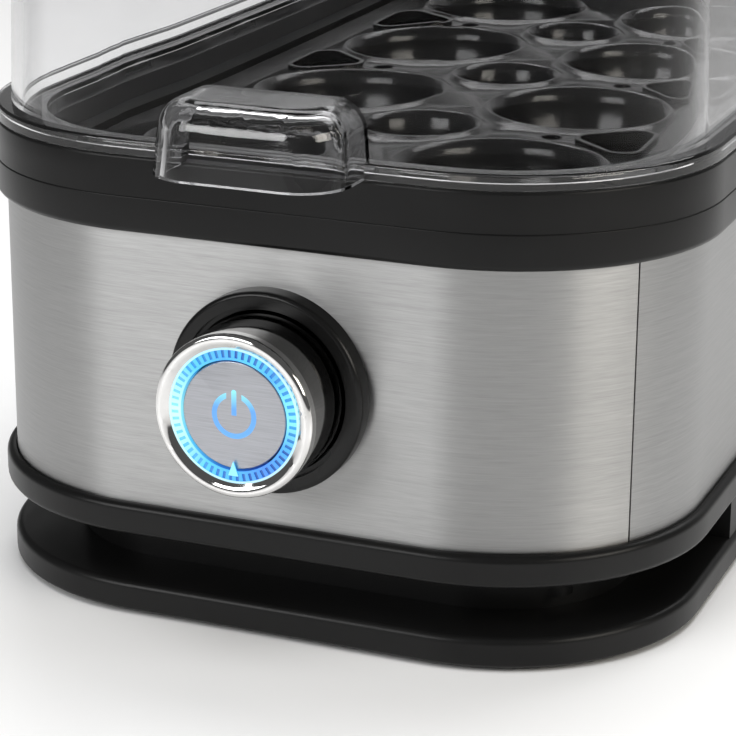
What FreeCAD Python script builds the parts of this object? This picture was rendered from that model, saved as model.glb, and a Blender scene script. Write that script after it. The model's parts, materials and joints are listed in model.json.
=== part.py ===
import FreeCAD, Part
import math
import os

# An egg cooker for eight eggs. Millimetres, +Z up, the front towards -Y.
# The origin is on the table, under the middle of the whole object with its knob.
# An "offset" is a distance outwards from the outline of the steel band.

# Overall plan
body_width = 143.0
body_length = 258.0
corner_radius = 40.5

# Heights, from the table up
foot_proud = 1.0
foot_plate_height = 5.9
channel_height = 10.4
lip_height = 6.4
steel_height = 54.0
lower_tier_height = 7.0
upper_tier_height = 7.7
lid_height = 60.0

# Offsets of the tiers from the steel outline
foot_plate_offset = 0.8
lip_offset = 2.1
tier_offset = 2.1
tier_step = 0.15
tier_top_offset = 1.75
flange_offset = 1.7

# Cuts run past faces by this much, and seated pieces of one body keep this gap
overrun = 1.0
seat_gap = 0.1
thread_gap = 0.05
running_gap = 0.08
guide_gap = 0.15
part_gap = 0.4

# Foot plate and rubber feet
foot_plate_wall = 2.4
foot_plate_top_round = 1.5
foot_plate_bottom_round = 0.8
foot_radius = 6.5
foot_socket_wall = 1.6
foot_depth = 1.4
foot_inset = 16.0

# Base shell: neck, shelf, lip and inner rib
neck_depth = 14.0
base_wall = 2.2
lip_rim = 1.8
lip_top_round = 1.5
lip_bottom_round = 1.4
rib_wall = 2.0
rib_height = 6.0

# Steel band
steel = 0.6
band_tongue = 2.5
seam_angle = 55.5
seam_width = 0.35
lap_width = 10.0

# Lower tier
tier_roof_width = 9.5
tier_bottom_round = 1.2
tier_top_round = 0.3
skirt_wall = 1.6
skirt_drop = 3.0

# Corner posts and their screws
post_radius = 3.8
post_bore_radius = 2.7
post_seat_depth = 8.0
screw_radius = 1.3
screw_head_radius = 2.4
screw_head_height = 1.8
screw_bite = 4.5
short_screw_length = 7.0

# Upper tier: land, sloping well wall, ledge, tray seat and pan shelf
land_width = 5.5
well_slope = 2.0
ledge_depth = 7.0
ledge_width = 4.5
seat_width = 5.0
frame_wall = 2.0
frame_gap = 1.0
tray_plane_drop = 7.8
upper_round = 0.8
shelf_thickness = 2.5
shelf_width = 3.5
pan_shelf_drop = 13.0
well_notch_width = 5.0
well_notch_height = 1.2
well_tab_width = 12.0
well_tab_height = 2.0
well_tab_depth = 1.0

# Egg tray
plate = 1.8
tray_gap = 1.8
row_gap_share = 0.1977
column_gap_share = 0.396
seat_radius = 19.0
seat_bevel = 1.4
seat_bead = 1.6
seat_bead_height = 0.6
cup_wall = 1.5
cup_depth = 19.8
cup_vent_radius = 2.5
vent_radius = 10.4
vent_collar = 6.0
cutout_inset = 8.7
cutout_length = 16.0
cutout_half = 14.0
cutout_round = 3.5
cutout_bead = 1.0
cutout_bead_height = 0.8
pin_hole_radius = 2.2
pin_hole_inset = 4.4

# Heating pan, gasket and what is under it
gasket_thickness = 1.5
pan_wall = 1.5
pan_depth = 14.5
pan_gap = 0.5
pan_round = 4.0
stud_radius = 2.0
stud_spread = 30.0
stud_length = 10.5
bridge_width = 14.0
bridge_sheet = 1.5
nut_radius = 3.6
nut_height = 2.4
element_radius = 3.25
element_spread = 48.0
element_start = 62.0
element_back_inset = 46.0
pin_radius = 1.2
pin_length = 8.0
bridge_front = 96.0
bridge_back_inset = 90.0
thermostat_radius = 8.0
thermostat_height = 6.0
thermostat_place = 72.0
ear_length = 28.0
ear_width = 8.0
ear_sheet = 1.0
ear_hole_spread = 22.0
boss_radius = 2.2
boss_height = 3.0
blade_spread = 8.0
blade_width = 5.0
blade_sheet = 0.8
blade_height = 4.5
fuse_radius = 2.5
fuse_length = 12.0

# Knob, bezel and lit ring, on an axis along Y just above the middle of the band
knob_rise = -0.2
knob_radius = 15.5
knob_reach = 17.8
knob_wall = 1.4
rim_depth = 2.4
rim_round = 1.0
rim_lip = 0.5
light_outer = 12.8
light_inner = 10.5
light_recess = 0.8
light_flange = 0.8
tick_count = 56
tick_width = 0.6
tick_depth = 0.25
tick_margin = 0.45
marker_root = 0.8
marker_width = 1.9
marker_length = 2.7
marker_height = 0.4
web = 1.6
hub_radius = 6.0
bezel_radius = 19.5
bezel_proud = 4.0
bezel_step_radius = 16.8
bezel_step_proud = 2.8
bezel_round = 1.0
collar_radius = 17.4
collar_depth = 3.4
nut_ring_depth = 2.4
nut_ring_wall = 2.6

# Push button in the middle of the knob
button_depth = 1.1
button_recess = 1.1
button_round = 0.3
button_travel = 1.5
button_gap = 0.3
plunger_radius = 2.6
plunger_collar = 0.9
plunger_collar_depth = 0.8
plunger_tip_radius = 1.5
plunger_tip_length = 3.2
symbol_radius = 3.9
symbol_line = 1.0
symbol_gap_half = 1.5
symbol_bar = 4.4
symbol_depth = 0.6
sleeve_radius = 4.2
sleeve_flange_radius = 7.0
sleeve_flange = 1.0
sleeve_nose = 0.4
spring_wire = 0.4
spring_radius = 3.1
spring_bore_radius = 3.6
spring_turns = 7
spring_bore_depth = 6.5
led_board_radius = 12.4
led_board_sheet = 1.0
led_count = 12
led_size = 1.6
led_height = 0.8
led_circle = 11.2

# Control board behind the front
board_front = 11.0
board_sheet = 1.6
board_width = 62.0
board_drop = 24.0
board_height = 38.0
board_hole_inset = 4.0
encoder_depth = 5.6
encoder_width = 22.0
rotor_radius = 8.4
rotor_depth = 4.0
rotor_wall = 0.8
sleeve_foot = 0.5
sleeve_foot_radius = 5.6
switch_radius = 4.6
switch_depth = 6.4
pillar_width = 8.0
pillar_depth = 4.0
connector_width = 8.0
connector_height = 7.0
connector_depth = 8.0
connector_spread = 48.0
relay_width = 12.0
relay_height = 9.0
relay_depth = 7.0
relay_place = 14.0

# Cord gland, terminal block and inner wires
gland_place = 67.0
gland_width = 16.0
gland_height = 8.4
gland_bore_radius = 2.2
gland_boot_radius = 2.9
block_width = 12.0
block_length = 26.0
block_height = 10.0
block_inset = 8.0
wire_radius = 1.1
wire_bend = 5.5
wire_drop = 14.0
wire_pitch = 2.6

# Lid with its flange, spigot and hood-shaped handle
lid_wall = 2.2
lid_draft = 2.0
lid_wall_inset = 2.9
lid_top_round = 9.0
flange_thickness = 3.0
flange_round = 0.6
spigot_gap = 1.2
spigot_wall = 1.5
spigot_depth = 2.5
handle_reach = 15.2
handle_half_width = 18.9
handle_height = 13.8
handle_draft = 1.2
handle_corner = 9.5
handle_wall = 2.0
handle_top_round = 6.0
lid_vent_radius = 2.5
lid_vent_spread = 12.0

# Heights worked out from the stack
foot_plate_bottom = foot_proud
foot_plate_top = foot_plate_bottom + foot_plate_height
lip_bottom = foot_plate_top + channel_height
shelf_top = lip_bottom + base_wall
lip_top = lip_bottom + lip_height
steel_top = lip_top + steel_height
knob_height = (lip_top + steel_top) / 2 + knob_rise
board_bottom = knob_height - board_drop
band_top = steel_top + band_tongue
parting = steel_top + lower_tier_height
ring_top = parting + upper_tier_height
lid_top = ring_top + lid_height
floor_top = foot_plate_top + base_wall
tray_plane = ring_top - tray_plane_drop
tray_underside = tray_plane - plate
ledge_level = ring_top - ledge_depth
chunk_bottom = tray_underside - frame_wall
pan_shelf = tray_underside - pan_shelf_drop + shelf_thickness
shelf_bottom = pan_shelf - shelf_thickness
pan_rim_bottom = pan_shelf + gasket_thickness
pan_rim_top = pan_rim_bottom + pan_wall
pan_bottom = pan_rim_top - pan_depth - pan_wall
element_level = pan_bottom - element_radius - thread_gap
bridge_top = element_level - element_radius
bridge_bottom = bridge_top - bridge_sheet

# Offsets worked out from the outline inwards
rib_offset = -steel - seat_gap
post_offset = rib_offset - post_radius
chunk_offset = -tier_roof_width - frame_gap
land_offset = -land_width
well_offset = land_offset - well_slope
seat_offset = well_offset - ledge_width
tray_offset = seat_offset - tray_gap
well_low_offset = seat_offset - seat_width
shelf_offset = well_low_offset - shelf_width
pan_offset = shelf_offset - pan_gap
neck_offset = foot_plate_offset - neck_depth

# The tray's cups spread over its width and length, with the free space shared out between them
tray_half_width = body_width / 2 + tray_offset
tray_length = body_length + 2 * tray_offset
column_place = seat_radius + (tray_half_width - 2 * seat_radius) * column_gap_share
egg_pitch = 2 * seat_radius + (tray_length - 8 * seat_radius) * row_gap_share
cutout_base = tray_half_width - cutout_inset
cutout_apex = cutout_base - cutout_length
pin_hole_place = cutout_apex - pin_hole_inset

# Places of the element and the bridges from the front
element_end = body_length - element_back_inset
bridge_back = body_length - bridge_back_inset

# Places along Y
front = (knob_reach - body_length - tier_offset) / 2
middle = front + body_length / 2
back = front + body_length
knob_front = front - knob_reach
board_face = front + board_front
board_back = board_face + board_sheet

os.makedirs("parts", exist_ok=True)

X = FreeCAD.Vector(1, 0, 0)
Y = FreeCAD.Vector(0, 1, 0)
Z = FreeCAD.Vector(0, 0, 1)


def at(x, y, z):
    return FreeCAD.Vector(x, y, z)


# Plain solids

def rounded_face(x_low, x_high, y_low, y_high, radius, z):
    """A flat rounded rectangle as a face."""
    reach = radius * (1 - math.sqrt(0.5))
    starts = [
        (at(x_high - radius, y_low, z), at(x_high - reach, y_low + reach, z), at(x_high, y_low + radius, z)),
        (at(x_high, y_high - radius, z), at(x_high - reach, y_high - reach, z), at(x_high - radius, y_high, z)),
        (at(x_low + radius, y_high, z), at(x_low + reach, y_high - reach, z), at(x_low, y_high - radius, z)),
        (at(x_low, y_low + radius, z), at(x_low + reach, y_low + reach, z), at(x_low + radius, y_low, z)),
    ]
    edges = []
    last = starts[-1][-1]
    for first, mid, end in starts:
        edges.append(Part.LineSegment(last, first).toShape())
        edges.append(Part.Arc(first, mid, end).toShape())
        last = end
    return Part.Face(Part.Wire(edges))


def outline(offset, z):
    """The steel outline grown by offset, as a face at height z."""
    half = body_width / 2 + offset
    return rounded_face(-half, half, front - offset, back + offset, corner_radius + offset, z)


def slab(offset, low, high):
    return outline(offset, low).extrude(Z * (high - low))


def taper(low_offset, low, high_offset, high):
    ends = [outline(low_offset, low).OuterWire, outline(high_offset, high).OuterWire]
    return Part.makeLoft(ends, True, True)


def hoop(outer, inner, low, high):
    return slab(outer, low, high).cut(slab(inner, low - overrun, high + overrun))


def box(x_low, x_high, y_low, y_high, z_low, z_high):
    return Part.makeBox(x_high - x_low, y_high - y_low, z_high - z_low, at(x_low, y_low, z_low))


def pole(radius, x, y, low, high):
    """A cylinder that stands along Z."""
    return Part.makeCylinder(radius, high - low, at(x, y, low), Z)


def shaft(radius, low, high, x=0, z=knob_height):
    """A cylinder along Y, on the knob's axis unless told otherwise."""
    return Part.makeCylinder(radius, high - low, at(x, low, z), Y)


def shaft_ring(outer, inner, low, high):
    return shaft(outer, low, high).cut(shaft(inner, low - overrun, high + overrun))


def fuse(pieces):
    whole = pieces[0].multiFuse(pieces[1:])
    return whole.removeSplitter()


def cut(shape, tools):
    return shape.cut(Part.makeCompound(tools))


def turned(profile, x, y):
    """A solid turned about a standing axis from points (radius, height)."""
    points = [at(r, 0, z) for r, z in profile]
    face = Part.Face(Part.makePolygon(points + points[:1]))
    solid = face.revolve(at(0, 0, 0), Z, 360)
    solid.translate(at(x, y, 0))
    return solid


def bowl(rim_radius, depth, rim_height, upper, x, y):
    """A solid turned about a standing axis: a round bottom up to its rim, then upper (radius, height)."""
    radius = (rim_radius ** 2 + depth ** 2) / (2 * depth)
    half_turn = math.atan2(rim_radius, radius - depth) / 2
    low = at(0, 0, rim_height - depth)
    mid = low + at(radius * math.sin(half_turn), 0, radius * (1 - math.cos(half_turn)))
    rim = at(rim_radius, 0, rim_height)
    points = [rim] + [at(r, 0, z) for r, z in upper] + [low]
    edges = [Part.Arc(low, mid, rim).toShape()]
    edges += [Part.LineSegment(first, last).toShape() for first, last in zip(points, points[1:])]
    solid = Part.Face(Part.Wire(edges)).revolve(at(0, 0, 0), Z, 360)
    solid.translate(at(x, y, 0))
    return solid


# Rounding of edges

def offset_of(point):
    """How far a point lies outside the steel outline, seen from above."""
    across = abs(point.x) - (body_width / 2 - corner_radius)
    along = abs(point.y - middle) - (body_length / 2 - corner_radius)
    outside = math.hypot(max(across, 0), max(along, 0))
    return outside + min(max(across, along), 0) - corner_radius


def edge_points(edge):
    first, last = edge.ParameterRange
    return [edge.valueAt(first + (last - first) * step / 4) for step in range(5)]


def round_outline(shape, offset, z, radius):
    """Rounds the edges that follow the outline at one offset and height."""
    near = seat_gap / 5

    def follows(edge):
        spots = edge_points(edge)
        return all(abs(p.z - z) < near and abs(offset_of(p) - offset) < near for p in spots)

    return shape.makeFillet(radius, [edge for edge in shape.Edges if follows(edge)])


def round_hoops(shape, hoop_radius, y, radius):
    """Rounds the circles about the knob's axis with one radius and place."""
    near = seat_gap / 5

    def fits(edge):
        spots = edge_points(edge)
        return all(abs(p.y - y) < near and abs(math.hypot(p.x, p.z - knob_height) - hoop_radius) < near
                   for p in spots)

    return shape.makeFillet(radius, [edge for edge in shape.Edges if fits(edge)])


# Tubes along straight runs joined by arcs

def bent_tube(points, radius, bend):
    edges = []
    last = points[0]
    for corner, after in zip(points[1:-1], points[2:]):
        before = (last - corner).normalize()
        ahead = (after - corner).normalize()
        half_turn = before.getAngle(ahead) / 2
        reach = bend / math.tan(half_turn)
        start = corner + before * reach
        end = corner + ahead * reach
        bisector = (before + ahead).normalize()
        mid = corner + bisector * (bend / math.sin(half_turn) - bend)
        edges.append(Part.LineSegment(last, start).toShape())
        edges.append(Part.Arc(start, mid, end).toShape())
        last = end
    edges.append(Part.LineSegment(last, points[-1]).toShape())
    section = Part.Wire(Part.makeCircle(radius, points[0], points[1] - points[0]))
    return Part.Wire(edges).makePipeShell([section], True, True)


def arc_towards(start, corner, end):
    """The arc from start to end whose tangents there meet at the corner."""
    chord = (start + end) * 0.5
    half = (end - start).Length / 2
    turn = math.atan2((corner - chord).Length, half)
    mid = chord + (corner - chord).normalize() * (half * math.tan(turn / 2))
    return Part.Arc(start, mid, end).toShape()


def tangent_arcs(start, start_way, end, end_way):
    """Two arcs that leave start one way, meet smoothly and arrive at end the other way."""
    span = end - start
    ways = start_way + end_way
    bend = 2 * (1 - start_way.dot(end_way))
    along = span.dot(ways)
    reach = (math.sqrt(along ** 2 + bend * span.dot(span)) - along) / bend
    before = start + start_way * reach
    after = end - end_way * reach
    join = (before + after) * 0.5
    return [arc_towards(start, before, join), arc_towards(join, after, end)]


def coil(radius, wire, length, turns):
    """A coil of round wire up Z, in arcs of an eighth of a turn."""
    rise = length / (4 * turns)
    stops = []
    for index in range(4 * turns + 1):
        angle = index * math.pi / 2
        out = at(math.cos(angle), math.sin(angle), 0)
        way = at(-radius * math.sin(angle), radius * math.cos(angle), 2 * rise / math.pi).normalize()
        stops.append((out * radius + Z * (index * rise), way))
    edges = []
    for (start, start_way), (end, end_way) in zip(stops, stops[1:]):
        edges += tangent_arcs(start, start_way, end, end_way)
    section = Part.Wire(Part.makeCircle(wire / 2, at(radius, 0, 0), Y))
    return Part.Wire(edges).makePipeShell([section], True, False)


def export(name, *solids):
    shape = solids[0] if len(solids) == 1 else Part.makeCompound(list(solids))
    shape.exportStep("parts/" + name + ".step")


# Places that repeat

def corner_places(offset):
    """Four points on the middles of the corner arcs, at one offset."""
    reach = (corner_radius + offset) * math.sqrt(0.5)
    x = body_width / 2 - corner_radius + reach
    y = body_length / 2 - corner_radius + reach
    return [(sx * x, middle + sy * y) for sx in (-1, 1) for sy in (-1, 1)]


posts = corner_places(post_offset)
feet = corner_places(-foot_inset)
columns = [-column_place, column_place]
rows = [middle + egg_pitch * (row - 1.5) for row in range(4)]
gaps_between_rows = [(low + high) / 2 for low, high in zip(rows, rows[1:])]
studs = [(side * stud_spread / 2, front + place) for side in (-1, 1) for place in (bridge_front, bridge_back)]


# Foot plate, its rubber feet and screws

socket_top = foot_plate_top - foot_plate_wall
foot_top = foot_plate_bottom + foot_depth


def make_foot_plate():
    plate_solid = slab(foot_plate_offset, foot_plate_bottom, foot_plate_top)
    plate_solid = round_outline(plate_solid, foot_plate_offset, foot_plate_top, foot_plate_top_round)
    plate_solid = round_outline(plate_solid, foot_plate_offset, foot_plate_bottom, foot_plate_bottom_round)
    hollow = slab(foot_plate_offset - foot_plate_wall, foot_plate_bottom - overrun, socket_top)
    sockets = [pole(foot_radius + foot_socket_wall, x, y, foot_plate_bottom, foot_plate_top) for x, y in feet]
    plate_solid = fuse([plate_solid.cut(hollow)] + sockets)
    bores = [pole(foot_radius + thread_gap, x, y, foot_plate_bottom - overrun, socket_top) for x, y in feet]
    holes = [pole(screw_radius + seat_gap, x, y, socket_top, foot_plate_top + overrun) for x, y in feet]
    return cut(plate_solid, bores + holes)


def make_screw(x, y, seat, length):
    """A screw put in from below, its head under the seat."""
    head = pole(screw_head_radius, x, y, seat - screw_head_height, seat)
    return fuse([head, pole(screw_radius, x, y, seat, seat + length)])


export("foot_plate", make_foot_plate())
export("rubber_feet", *[pole(foot_radius, x, y, 0, foot_top) for x, y in feet])
export("foot_screws", *[make_screw(x, y, socket_top, short_screw_length) for x, y in feet])


# Base shell with the recessed neck, the shelf, the lip and the posts

post_seat = band_top - post_seat_depth
foot_boss_top = socket_top + short_screw_length + base_wall
pillar_top = board_bottom + board_height
pillar_places = [side * (board_width - pillar_width) / 2 for side in (-1, 1)]
board_holes = [(x, z) for x in pillar_places
               for z in (board_bottom + board_hole_inset, pillar_top - board_hole_inset)]
gland_y = front + gland_place + gland_width / 2
gland_z = floor_top + gland_boot_radius + seat_gap


def make_base_shell():
    lip = hoop(lip_offset, neck_offset - base_wall, lip_bottom, lip_top)
    lip = round_outline(lip, lip_offset, lip_top, lip_top_round)
    lip = round_outline(lip, lip_offset, lip_bottom, lip_bottom_round)
    lip = lip.cut(slab(lip_offset - lip_rim, shelf_top, lip_top + overrun))
    neck = hoop(neck_offset, neck_offset - base_wall, foot_plate_top, shelf_top)
    floor = slab(neck_offset, foot_plate_top, floor_top)
    rib = hoop(rib_offset, rib_offset - rib_wall, shelf_top, shelf_top + rib_height)
    tall = [pole(post_radius, x, y, lip_bottom, band_top) for x, y in posts]
    bosses = [pole(post_radius, x, y, floor_top, foot_boss_top) for x, y in feet]
    pillars = [box(x - pillar_width / 2, x + pillar_width / 2, board_back, board_back + pillar_depth,
                   lip_bottom, pillar_top) for x in pillar_places]
    shell = fuse([lip, neck, floor, rib] + tall + bosses + pillars)
    bores = [pole(post_bore_radius, x, y, lip_bottom - overrun, post_seat - base_wall) for x, y in posts]
    seats = [pole(screw_radius + seat_gap, x, y, post_seat - base_wall, band_top + overrun)
             for x, y in posts]
    skirt_room = hoop(0, rib_offset - skirt_wall - seat_gap, steel_top - skirt_drop - seat_gap,
                      band_top + overrun)
    boss_holes = [pole(screw_radius + thread_gap, x, y, foot_plate_top - overrun, foot_boss_top - base_wall / 2)
                  for x, y in feet]
    screw_holes = [shaft(screw_radius + thread_gap, board_back, board_back + pillar_depth - seat_gap, x, z)
                   for x, z in board_holes]
    side = body_width / 2 + neck_offset
    cord_hole = Part.makeCylinder(gland_boot_radius + seat_gap, base_wall + 2 * overrun,
                                  at(side - base_wall - overrun, gland_y, gland_z), X)
    return cut(shell, bores + seats + boss_holes + screw_holes + [skirt_room, cord_hole])


export("base_shell", make_base_shell())


# Cord gland in the channel, on the right side

def make_gland():
    neck_face = body_width / 2 + neck_offset
    outer_face = body_width / 2
    body = box(neck_face, outer_face, gland_y - gland_width / 2, gland_y + gland_width / 2,
               foot_plate_top, foot_plate_top + gland_height)
    boot = Part.makeCylinder(gland_boot_radius, base_wall + gland_bore_radius,
                             at(neck_face - base_wall - gland_bore_radius, gland_y, gland_z), X)
    body = fuse([body, boot])
    bore = Part.makeCylinder(gland_bore_radius, neck_depth + 2 * base_wall + 2 * gland_bore_radius + overrun,
                             at(neck_face - base_wall - gland_bore_radius - overrun, gland_y, gland_z), X)
    return body.cut(bore)


export("cord_gland", make_gland())


# Steel band with a lapped seam at the right front corner

def turned_box(depth_low, depth_high, half_width, low, high):
    """A box square to the corner arc at the seam, between two offsets."""
    shape = box(-half_width, half_width, -corner_radius - depth_high, -corner_radius - depth_low, low, high)
    shape.rotate(at(0, 0, 0), Z, seam_angle)
    shape.translate(at(body_width / 2 - corner_radius, front + corner_radius, 0))
    return shape


def make_steel_band():
    band = hoop(0, -steel, shelf_top, band_top)
    slit = turned_box(-steel - overrun, overrun, seam_width / 2, shelf_top - overrun, band_top + overrun)
    window = shaft(collar_radius + seat_gap, front - overrun, front + steel + overrun)
    lap_low = shelf_top + rib_height + part_gap
    lap_high = steel_top - skirt_drop - part_gap
    lap = hoop(-steel, -2 * steel, lap_low, lap_high)
    lap = lap.common(turned_box(-lap_width, 0, lap_width / 2, lap_low, lap_high))
    return fuse([cut(band, [slit, window]), lap])


export("steel_band", make_steel_band())


# Lower tier, which holds the band's top edge in a groove

def make_lower_ring():
    ring = hoop(tier_offset, -tier_roof_width, steel_top, parting)
    ring = round_outline(ring, tier_offset, steel_top, tier_bottom_round)
    ring = round_outline(ring, tier_offset, parting, tier_top_round)
    ring = ring.cut(slab(seat_gap, steel_top - overrun, band_top))
    outer = -steel - seat_gap
    skirt = hoop(outer, outer - skirt_wall, steel_top - skirt_drop, band_top)
    holes = [pole(screw_radius + seat_gap, x, y, band_top - overrun, parting + overrun) for x, y in posts]
    return cut(fuse([ring, skirt]), holes)


export("lower_ring", make_lower_ring())


# Upper tier: the land under the lid, the well wall, the ledge and the pan shelf

def make_top_frame():
    tier = taper(tier_offset - tier_step, parting, tier_top_offset, ring_top)
    tier = round_outline(tier, tier_top_offset, ring_top, upper_round)
    chunk = slab(chunk_offset, chunk_bottom, parting)
    low_wall = slab(well_low_offset + frame_wall, shelf_bottom, chunk_bottom)
    frame = fuse([tier, chunk, low_wall])
    slope = well_slope * overrun / ledge_depth
    hollows = [
        taper(well_offset, ledge_level, land_offset + slope, ring_top + overrun),
        slab(seat_offset, tray_underside, ledge_level + overrun),
        slab(well_low_offset, pan_shelf, tray_underside + overrun),
        slab(shelf_offset, shelf_bottom - overrun, pan_shelf + overrun),
    ]
    for hollow in hollows:
        frame = frame.cut(hollow)
    bores = [pole(screw_radius + thread_gap, x, y, parting - overrun, parting + screw_bite) for x, y in posts]
    frame = cut(frame, bores)
    wall = body_width / 2 + land_offset
    notches = []
    for place in gaps_between_rows:
        for side in (-1, 1):
            low, high = sorted((side * (wall - overrun), side * (wall + well_tab_depth)))
            notches.append(box(low, high, place - well_notch_width / 2, place + well_notch_width / 2,
                               ring_top - well_notch_height, ring_top + overrun))
            low, high = sorted((side * (wall - overrun), side * (wall + well_tab_depth / 2)))
            notches.append(box(low, high, place - well_tab_width / 2, place + well_tab_width / 2,
                               ring_top - well_tab_height, ring_top + overrun))
    return cut(frame, notches)


def make_post_screw(x, y):
    seat = post_seat - base_wall
    return make_screw(x, y, seat, parting + screw_bite - seat_gap - seat)


export("top_frame", make_top_frame())
export("post_screws", *[make_post_screw(x, y) for x, y in posts])


# Heating pan on its gasket

pan_inner = pan_offset - pan_wall
pan_floor = pan_bottom + pan_wall


def make_pan():
    solid = slab(pan_offset, pan_bottom, pan_rim_top)
    solid = round_outline(solid, pan_offset, pan_bottom, pan_round + pan_wall)
    rim = hoop(well_low_offset - seat_gap, pan_offset - pan_wall, pan_rim_bottom, pan_rim_top)
    water = slab(pan_inner, pan_floor, pan_rim_top + overrun)
    water = round_outline(water, pan_inner, pan_floor, pan_round)
    pins = [pole(stud_radius, x, y, pan_bottom - stud_length, pan_bottom) for x, y in studs]
    bosses = [pole(boss_radius, x, y, ear_top, pan_bottom).cut(
        pole(screw_radius + thread_gap, x, y, ear_top - overrun, pan_bottom)) for x, y in ear_holes]
    return fuse([solid, rim]).cut(water).multiFuse(pins + bosses).removeSplitter()


ear_top = pan_bottom - boss_height
ear_holes = [(side * ear_hole_spread / 2, front + thermostat_place) for side in (-1, 1)]
export("heating_pan", make_pan())
export("pan_gasket", hoop(well_low_offset - seat_gap, shelf_offset - seat_gap, pan_shelf, pan_rim_bottom))


# Tube heating element, a long U under the pan

def make_element():
    x = element_spread / 2
    start = front + element_start
    end = front + element_end
    points = [at(-x, start, element_level), at(-x, end, element_level), at(x, end, element_level),
              at(x, start, element_level)]
    bend = x - thread_gap
    tube = bent_tube(points, element_radius, bend)
    pins = [shaft(pin_radius, start - pin_length, start, side * x, element_level) for side in (-1, 1)]
    return fuse([tube] + pins)


export("heating_element", make_element())


# Two sheet bridges that pull the pan down on the gasket, with their nuts

def make_bridge(place):
    y = front + place
    low, high = y - bridge_width / 2, y + bridge_width / 2
    inner = body_width / 2 + pan_offset + guide_gap
    leg = inner + bridge_sheet
    reach = body_width / 2 + well_low_offset + seat_gap
    outside = box(-leg, leg, low, high, bridge_bottom, shelf_bottom)
    inside = box(-inner, inner, low - overrun, high + overrun, bridge_top, shelf_bottom + overrun)
    ears = box(-reach, reach, low, high, shelf_bottom - bridge_sheet, shelf_bottom)
    bridge = fuse([outside, ears]).cut(inside)
    holes = [pole(stud_radius + seat_gap, x, sy, bridge_bottom - overrun, bridge_top + overrun)
             for x, sy in studs]
    return cut(bridge, holes)


def make_nut(x, y):
    corners = [at(x + nut_radius * math.cos(math.radians(60 * step)),
                  y + nut_radius * math.sin(math.radians(60 * step)), bridge_bottom - nut_height)
               for step in range(7)]
    nut = Part.Face(Part.makePolygon(corners)).extrude(Z * nut_height)
    bore = pole(stud_radius + thread_gap, x, y, bridge_bottom - nut_height - overrun, bridge_bottom + overrun)
    return nut.cut(bore)


export("pan_bridges", make_bridge(bridge_front), make_bridge(bridge_back))
export("bridge_nuts", *[make_nut(x, y) for x, y in studs])


# Thermostat on two bosses of the pan, and the thermal fuse in the element's right lead

def make_thermostat():
    y = front + thermostat_place
    can = pole(thermostat_radius, 0, y, pan_bottom - thermostat_height, pan_bottom)
    half = ear_length / 2
    ears = box(-half, half, y - ear_width / 2, y + ear_width / 2, ear_top - ear_sheet, ear_top)
    blades = [box(x - blade_sheet / 2, x + blade_sheet / 2, y - blade_width / 2, y + blade_width / 2,
                  pan_bottom - thermostat_height - blade_height, pan_bottom - thermostat_height)
              for x in (-blade_spread / 2, blade_spread / 2)]
    solid = fuse([can, ears] + blades)
    holes = [pole(screw_radius + seat_gap, x, y, ear_top - ear_sheet - overrun, ear_top + overrun)
             for x, y in ear_holes]
    return cut(solid, holes)


fuse_end = front + element_start - pin_length
fuse_start = fuse_end - fuse_length
export("thermostat", make_thermostat())
export("thermostat_screws", *[make_screw(x, y, ear_top - ear_sheet, ear_sheet + boss_height - seat_gap)
                              for x, y in ear_holes])
export("thermal_fuse", shaft(fuse_radius, fuse_start, fuse_end, element_spread / 2, element_level))


# Bezel pushed through the steel from outside, and its ring nut inside

hub_bore = hub_radius + running_gap
bezel_floor = front + collar_depth
nut_ring_low = front + steel
nut_ring_high = nut_ring_low + nut_ring_depth


def make_bezel():
    flange = shaft(bezel_radius, front - bezel_proud, front)
    flange = round_hoops(flange, bezel_radius, front - bezel_proud, bezel_round)
    flange = flange.cut(shaft(bezel_step_radius, front - bezel_proud - overrun, front - bezel_step_proud))
    collar = shaft(collar_radius, front - bezel_step_proud, bezel_floor + web)
    solid = fuse([flange, collar])
    bore = shaft(knob_radius + part_gap, front - bezel_proud - overrun, bezel_floor)
    hole = shaft(hub_bore, bezel_floor - overrun, bezel_floor + web + overrun)
    return cut(solid, [bore, hole])


export("knob_bezel", make_bezel())
export("bezel_nut", shaft_ring(collar_radius + nut_ring_wall, collar_radius + thread_gap,
                               nut_ring_low, nut_ring_high))


# Knob: chrome skirt with its hub, face rim, lit ring with ticks, and the encoder's rotor

rim_back = knob_front + rim_depth
light_front = knob_front + light_recess
skirt_back = bezel_floor - part_gap
rotor_back = board_face - sleeve_foot - part_gap
rotor_front = rotor_back - rotor_depth
sleeve_bore_gap = sleeve_radius + running_gap


def make_skirt():
    tube = shaft_ring(knob_radius, knob_radius - knob_wall, rim_back, skirt_back)
    disc = shaft(knob_radius, skirt_back - web, skirt_back)
    hub = shaft(hub_radius, skirt_back - web, rotor_back)
    bore = shaft(sleeve_bore_gap, skirt_back - web - overrun, rotor_back + overrun)
    return fuse([tube, disc, hub]).cut(bore)


def make_face_rim():
    bore = light_outer + thread_gap
    rim = shaft(knob_radius, knob_front, rim_back)
    rim = round_hoops(rim, knob_radius, knob_front, rim_round)
    rim = rim.cut(shaft(bore, knob_front - overrun, rim_back + overrun))
    lip = knob_radius - rim_round - rim_lip
    return rim.cut(Part.makeCone(lip, bore, light_recess, at(0, knob_front, knob_height), Y))


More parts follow.
